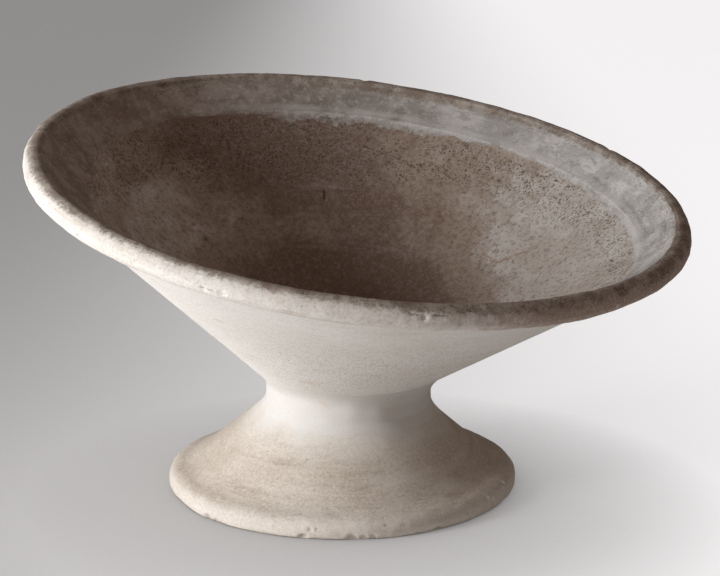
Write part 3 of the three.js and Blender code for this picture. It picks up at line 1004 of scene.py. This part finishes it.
lumps = window(mottle(place, 0.0036, 5, 0.72), 0.50, 0.66)
rough_sand = times(times(mark_value(tree, "sandy"), lumps), 1.6)
bowl_grit = plus(times(mark_value(tree, "sandy"), 0.34), 0.26)
cement_finish(tree, colour, plus(height, rough_sand), bump=0.40, grit=bowl_grit)

bowl_marks = {
    "inside": np.broadcast_to(inner_skin, bowl_base.shape[:2]),
    "sandy": sandy * (1 - inner_skin),
    "soil": soil * inner_skin,
    "pitted": pitted * inner_skin,
    "hollow": np.maximum(0.85 * bowl_hollow, bowl_gouge),
    "rust": bowl_rust,
    "margin": margin * inner_skin,
    "limed": limed(bowl_angle) * inner_skin,
    # paler side as painted light, darker side as grime and painted shade
    "lit_side": lit_side(bowl_angle) * inner_skin,
    "grime_and_shade": grime_and_shade(bowl_angle) * inner_skin,
}
bowl = ring_solid("bowl_visual", bowl_solid, bowl_marks, bowl_material)
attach(bowl, "root")
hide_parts("bowl_shell")


# ---- Bowl floor --------------------------------------------------------------------------
# A plug of mortar in the bottom of the cone, dished towards a drain hole that was pushed
# through with a dowel. Soil has left it dark.

FLOOR_TOP_Z = 0.1086
DRAIN_RADIUS = 0.014
DRAIN_EDGE = 0.002  # width and height of the hole's rounded edge
PLUG_SIDES = 360
PLUG_TONES = ((0.330, 0.280, 0.235, 1), (0.245, 0.195, 0.155, 1), (0.120, 0.090, 0.068, 1))
PLUG_CRUST = (0.43, 0.39, 0.34, 1)


def plug_ring(z, depth):
    """Ring where the level z meets the cone, so deep behind the wall's outer face."""
    height = cone_height_at_level(z, depth, plug_angle)
    return bowl_points(cone_radius(height, depth), height, plug_angle)


def drain_ring(radius, z):
    """Level circle about the foot's axis."""
    x = radius * np.cos(plug_angle)
    y = FOOT_Y + radius * np.sin(plug_angle)
    return np.stack([x, y, np.full(PLUG_SIDES, z)], axis=-1)


plug_angle = once_round(PLUG_SIDES)
plug_stations = [
    drain_ring(DRAIN_RADIUS, BOWL_BASE_Z),
    plug_ring(BOWL_BASE_Z, WALL + GAP),
    plug_ring(FLOOR_TOP_Z, WALL - 0.0010),
    drain_ring(DRAIN_RADIUS + DRAIN_EDGE, FLOOR_TOP_Z),
    drain_ring(DRAIN_RADIUS, FLOOR_TOP_Z - DRAIN_EDGE),
    drain_ring(DRAIN_RADIUS, BOWL_BASE_Z),
]
plug_steps = zip(plug_stations[:-1], plug_stations[1:], [8, 6, 44, 3, 8])
plug_parts = [between(start, end, rows) for start, end, rows in plug_steps]
plug_base = np.concatenate(plug_parts)
plug_skin = by_part(plug_parts, [0, 0, 1, 1, 0.4])
plug_pits = pits(plug_base, 0.0060, 0.22, 61)
from_drain = np.hypot(plug_base[..., 0], plug_base[..., 1] - FOOT_Y)
plug_dish = 0.0016 * np.clip(1 - (from_drain - DRAIN_RADIUS) / 0.040, 0, 1)
plug_waves = 0.0012 * drift(plug_base, 0.022, 62) + 0.0005 * drift(plug_base, 0.007, 63)
plug_depth = (plug_dish + plug_waves + 0.0010 * plug_pits) * plug_skin
plug_solid = plug_base - facing(plug_base) * plug_depth[..., None]

plug_material, tree, place, colour, height = cement_ground(
    "floor_cement", PLUG_TONES, streaks=0.30, specks=0.7
)
crust = window(mottle(place, 0.012, 6, 0.7), 0.54, 0.64)
colour = coats(colour, [
    (crust, 0.5, PLUG_CRUST),
    # the pits are darkened as painted shade
    (mark_value(tree, "hollow"), 0.8, HOLE_SHADE),
])
cement_finish(tree, colour, height, bump=0.5)

plug = ring_solid("floor_visual", plug_solid, {"hollow": plug_pits * plug_skin}, plug_material)
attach(plug, "root")
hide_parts("bowl_floor")


# ---- Rim ---------------------------------------------------------------------------------
# A band of mortar rolled over the wall's thinned edge by hand: a bulging outer face, a rounded
# crown and a lip that slopes to the crease. Weather has greyed its top, and its edge is chipped.

RIM_RADIUS = 0.305
RIM_SIDES = 1180
LOWER_RADIUS, LOWER_HEIGHT = 0.2832, -0.0131
CROWN_RADIUS, CROWN_HEIGHT = 0.2927, 0.01335
SHOULDER_RADIUS, SHOULDER_HEIGHT = 0.2862, 0.0086
LIP_ROWS = 26
LIP_START_RADIUS = 0.2885  # inside it the lip's weathering begins
SEAM_HEIGHT, SEAM_WIDTH = -0.0122, 0.0022  # dark line where the band meets the wall
RIM_PIT_DEPTH, CRACK_DEPTH, LIME_HEIGHT = 0.0009, 0.0010, 0.0012
RIM_NICKS = [
    # angle in degrees, radius, height, reach and depth
    (-117.9, 0.3039, 0.0048, 0.0034, 0.0012),
    (-4.4, 0.2965, 0.0128, 0.0080, 0.0014),
    (-148.0, 0.3048, -0.0010, 0.0045, 0.0010),
    (-151.0, 0.3045, -0.0020, 0.0035, 0.0009),
    (52.0, 0.2975, 0.0125, 0.0060, 0.0012),
    (-83.0, 0.3040, -0.0020, 0.0034, 0.0008),
    (-36.0, 0.3045, 0.0010, 0.0070, 0.0014),
    (24.0, 0.3040, 0.0030, 0.0060, 0.0012),
    (77.0, 0.3046, -0.0010, 0.0080, 0.0015),
    (118.0, 0.3040, 0.0040, 0.0060, 0.0013),
    (161.0, 0.3046, -0.0030, 0.0050, 0.0010),
]
RIM_CRACKS = [
    # angle in degrees, radius and height at one end and at the other, and the width
    (-121.0, 0.3024, 0.0080, -118.6, 0.3029, 0.0074, 0.0006),
    (-116.6, 0.3029, 0.0072, -114.4, 0.3031, 0.0068, 0.0005),
    (-151.6, 0.3045, -0.0004, -147.6, 0.3048, -0.0016, 0.0008),
    (88.0, 0.3046, 0.0012, 93.0, 0.3046, 0.0020, 0.0008),
]
RIM_TONES = ((0.775, 0.755, 0.725, 1), (0.695, 0.660, 0.610, 1), (0.400, 0.320, 0.255, 1))
# Warm brown painted shade for the rim's side away from the lamp.
BROWN_PAINTED_SHADE = (0.395, 0.300, 0.250, 1)
CROWN_TONES = ((0.250, 0.196, 0.158, 1), (0.475, 0.428, 0.376, 1))
LIME_BLOOM = (0.640, 0.635, 0.620, 1)
SEAM_DARK_LINE = (0.420, 0.300, 0.190, 1)
LICHEN = (0.085, 0.072, 0.062, 1)
RUST_DOT = (0.560, 0.230, 0.090, 1)
FRESH_CHIP = (0.800, 0.785, 0.750, 1)
RIM_HOLE_SHADE = (0.080, 0.062, 0.050, 1)


def quarter(radius, height, half_radius, half_height, start, end, rows):
    """Points on part of an ellipse about a centre, between two angles in degrees."""
    turn = np.radians(np.linspace(start, end, rows))
    return np.stack([radius + half_radius * np.cos(turn), height + half_height * np.sin(turn)], 1)


bulge_line = quarter(LOWER_RADIUS, 0, RIM_RADIUS - LOWER_RADIUS, -LOWER_HEIGHT, -90, 0, 26)
crown_line = quarter(CROWN_RADIUS, 0, RIM_RADIUS - CROWN_RADIUS, CROWN_HEIGHT, 0, 90, 18)
shoulder_width, shoulder_drop = CROWN_RADIUS - SHOULDER_RADIUS, CROWN_HEIGHT - SHOULDER_HEIGHT
shoulder_line = quarter(
    CROWN_RADIUS, SHOULDER_HEIGHT, shoulder_width, shoulder_drop, 90, 180, 9
)
lip_share = np.linspace(0, 1, LIP_ROWS + 1)[1:, None]
lip_start, lip_end = shoulder_line[-1], np.array(in_wall(0.0, 0.0002))
lip_line = lip_start * (1 - lip_share) + lip_end * lip_share
hidden_line = np.array([
    in_wall(-0.0010, 0.0012),
    in_wall(0.0006, TONGUE_REBATE - GAP),
    in_wall(0.011, TONGUE_REBATE - GAP),
    in_wall(TONGUE_LENGTH + GAP, TONGUE_REBATE - GAP),
    in_wall(TONGUE_LENGTH + GAP, WALL + GAP),
    (cone_radius(LOWER_HEIGHT, 0.0012), LOWER_HEIGHT + 0.0004),
])
rim_line = np.concatenate([bulge_line, crown_line[1:], shoulder_line[1:], lip_line, hidden_line])
shown_rows = len(rim_line) - len(hidden_line)
rim_skin = np.concatenate([np.ones(shown_rows), np.zeros(len(hidden_line))])[:, None]
rim_skin[0] = 0
rim_angle = once_round(RIM_SIDES)[None, :]
rim_base = bowl_points(rim_line[:, :1], rim_line[:, 1:], rim_angle)
rim_radius = np.broadcast_to(rim_line[:, :1], rim_base.shape[:2])
rim_height = np.broadcast_to(rim_line[:, 1:], rim_base.shape[:2])
lip_skin = np.zeros_like(rim_skin)
lip_skin[shown_rows - len(lip_line) - 4:shown_rows] = 1
outer_face = rim_skin - lip_skin
rim_waves = 0.0011 * drift(rim_base, 0.060, 71) + 0.0008 * drift(rim_base, 0.019, 72)
rim_waves = rim_waves + 0.00045 * drift(rim_base, 0.0060, 73)
along_rim = rim_base * 0.07
along_rim[..., 2] = rim_height + rim_radius
rim_brush = 0.00035 * drift(along_rim, 0.0030, 74)
rim_worn = np.clip((rim_height - 0.006) / 0.007, 0, 1)
rim_pits = pits(rim_base, 0.0048, 0.45, 75) * rim_worn * (drift(rim_base, 0.030, 76) > 0.45)
rim_pits = np.maximum(rim_pits, pits(rim_base, 0.0056, 0.025, 81))
rim_ragged = shaken(rim_base, 0.0020, 0.0035, 77)
nick_places = [
    (bowl_points(radius, height, math.radians(degrees)), reach, depth)
    for degrees, radius, height, reach, depth in RIM_NICKS
]
rim_nick_depth, rim_chip = knocks(rim_ragged, nick_places)
crack_lines = []
for turn_a, radius_a, height_a, turn_b, radius_b, height_b, width in RIM_CRACKS:
    crack_start = bowl_points(radius_a, height_a, math.radians(turn_a))
    crack_end = bowl_points(radius_b, height_b, math.radians(turn_b))
    crack_lines.append(stroke(rim_ragged, crack_start, crack_end, width))
rim_crack = np.max(crack_lines, axis=0)
lime_ridge_place = np.abs(np.arange(len(rim_line))[:, None] - (shown_rows - 4)) / 3.5
lime_share = limed(rim_angle) * drift(rim_base, 0.012, 78)
lime_ridge = np.clip(1 - lime_ridge_place**2, 0, 1) * lime_share * lip_skin
rim_depth = (rim_waves + rim_brush) * np.where(lip_skin > 0, 0.7, 1.0)
rim_depth = rim_depth + RIM_PIT_DEPTH * rim_pits + rim_nick_depth + CRACK_DEPTH * rim_crack
rim_depth = rim_depth * rim_skin - LIME_HEIGHT * lime_ridge
lip_fade = np.clip((shown_rows - 1 - np.arange(len(rim_line))) / 3.0, 0, 1)[:, None]
rim_depth = rim_depth * np.where(lip_skin > 0, lip_fade, 1.0)
rim_solid = rim_base - facing(rim_base) * rim_depth[..., None]

rim_material, tree, place, colour, height = cement_ground(
    "rim_cement", RIM_TONES, lean=BOWL_LEAN, streaks=0.60, specks=0.45
)
# The rim's front right, away from the lamp, is darkened in warm brown as painted shade.
shade_cloud = plus(mark_value(tree, "shaded_side"), mottle(place, 0.020, 7, 0.68))
grey_clouds = window(mottle(place, 0.016, 6, 0.68), 0.38, 0.64)
crown_fuzz = carry(mottle(place, 0.0060, 8, 0.82), -0.8, 1.4)
crown_shape = plus(mark_value(tree, "crown"), crown_fuzz)
colour = coats(colour, [
    (window(shade_cloud, 0.72, 1.12), 0.90, BROWN_PAINTED_SHADE),
    (window(crown_shape, 0.52, 0.98), 0.92, tint(grey_clouds, *CROWN_TONES)),
])
lip_shape = plus(mark_value(tree, "lip"), mottle(place, 0.010, 7, 0.72))
colour = tint(window(lip_shape, 0.72, 0.98), colour, lip_paint(tree, place))
lichen_where = window(mottle(place, 0.014, 5, 0.7), 0.46, 0.58)
lichen = times(dotted(place, 420.0, 0.40, 0.14), lichen_where)
lichen = times(lichen, window(mark_value(tree, "crown"), 0.08, 0.60))
colour = coats(colour, [
    (mark_value(tree, "lime"), 0.85, LIME_BLOOM),
    # a dark line where the band meets the wall
    (mark_value(tree, "seam"), 0.75, SEAM_DARK_LINE),
    (lichen, 0.85, LICHEN),
    (dotted(place, 24.0, 0.052, 0.030), 0.75, RUST_DOT),
    (mark_value(tree, "chip"), 0.85, FRESH_CHIP),
    # the pits and cracks are darkened as painted shade
    (mark_value(tree, "hollow"), 0.85, RIM_HOLE_SHADE),
])
rim_grit = carry(mark_value(tree, "shaded_side"), 0.12, 0.66)
cement_finish(tree, colour, height, bump=0.45, grit=rim_grit)

lip_fringe = 0.0065 + 0.0120 * around(rim_angle, 48, 80)
crown_start = 0.0030 + 0.0048 * around(rim_angle, -165, 85) + 0.0030 * around(rim_angle, -15, 50)
crown_mark = np.clip((rim_height - crown_start) / 0.0080 + 0.6 * lip_skin, 0, 1)
seam_mark = np.clip(1 - np.abs(rim_height - SEAM_HEIGHT) / SEAM_WIDTH, 0, 1) * outer_face
every_point = np.ones(rim_base.shape[:2])
rim_marks = {
    "lip": np.clip((LIP_START_RADIUS - rim_radius) / lip_fringe, 0, 1) * lip_skin,
    # the side away from the lamp, which carries the painted shade
    "shaded_side": around(rim_angle, -56, 84) * every_point,
    # paler side as painted light, darker side as grime and painted shade
    "lit_side": lit_side(rim_angle) * every_point,
    "grime_and_shade": grime_and_shade(rim_angle) * every_point,
    "crown": crown_mark * rim_skin,
    "seam": seam_mark * (0.4 + 0.6 * drift(rim_base, 0.030, 79)),
    "lime": lime_ridge * 1.4,
    "chip": rim_chip * rim_skin,
    "hollow": np.maximum(rim_pits * 0.8, rim_crack * 0.8) * rim_skin,
}
rim = ring_solid("rim_visual", rim_solid, rim_marks, rim_material)
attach(rim, "root")
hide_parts("rim_roll")
